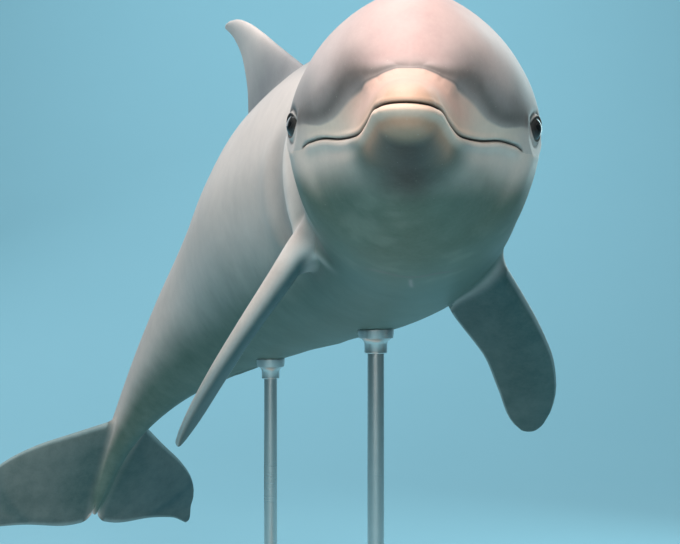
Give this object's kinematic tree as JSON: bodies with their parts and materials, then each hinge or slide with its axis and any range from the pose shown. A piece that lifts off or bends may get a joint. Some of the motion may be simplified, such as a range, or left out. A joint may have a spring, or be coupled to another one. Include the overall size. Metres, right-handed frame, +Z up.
{
  "type": "bottlenose dolphin model",
  "caption": "Life-size young bottlenose dolphin in a turning, tail-down swimming pose, held over a flat base by slim upright rods.",
  "frame": {"origin": "on the floor, under the middle of the whole model", "axes": "+Y from the head towards the tail, +X towards the dolphin's left side at the head, +Z up"},
  "size_m": [1.0702, 1.8588, 1.1255],
  "materials": {
    "upper_skin": "smooth satin skin, warm grey",
    "lower_skin": "smooth satin skin, pale",
    "fin_skin": "smooth satin skin, slate grey",
    "eye_glass": "clear gloss over a dark iris",
    "stand_board": "pale matt paint",
    "stand_steel": "satin"
  },
  "bodies": {
    "root": {"head": "upper_skin", "lower_jaw": "lower_skin", "chest": "upper_skin", "trunk": "upper_skin", "tail_stock": "upper_skin", "dorsal_fin": "fin_skin", "flipper_left": "fin_skin", "flipper_right": "fin_skin", "fluke_left": "fin_skin", "fluke_right": "fin_skin", "eye_left": "eye_glass", "eye_right": "eye_glass", "stand_base": "stand_board", "stand_rod_front": "stand_steel", "stand_rod_rear": "stand_steel"}
  },
  "joints": []
}
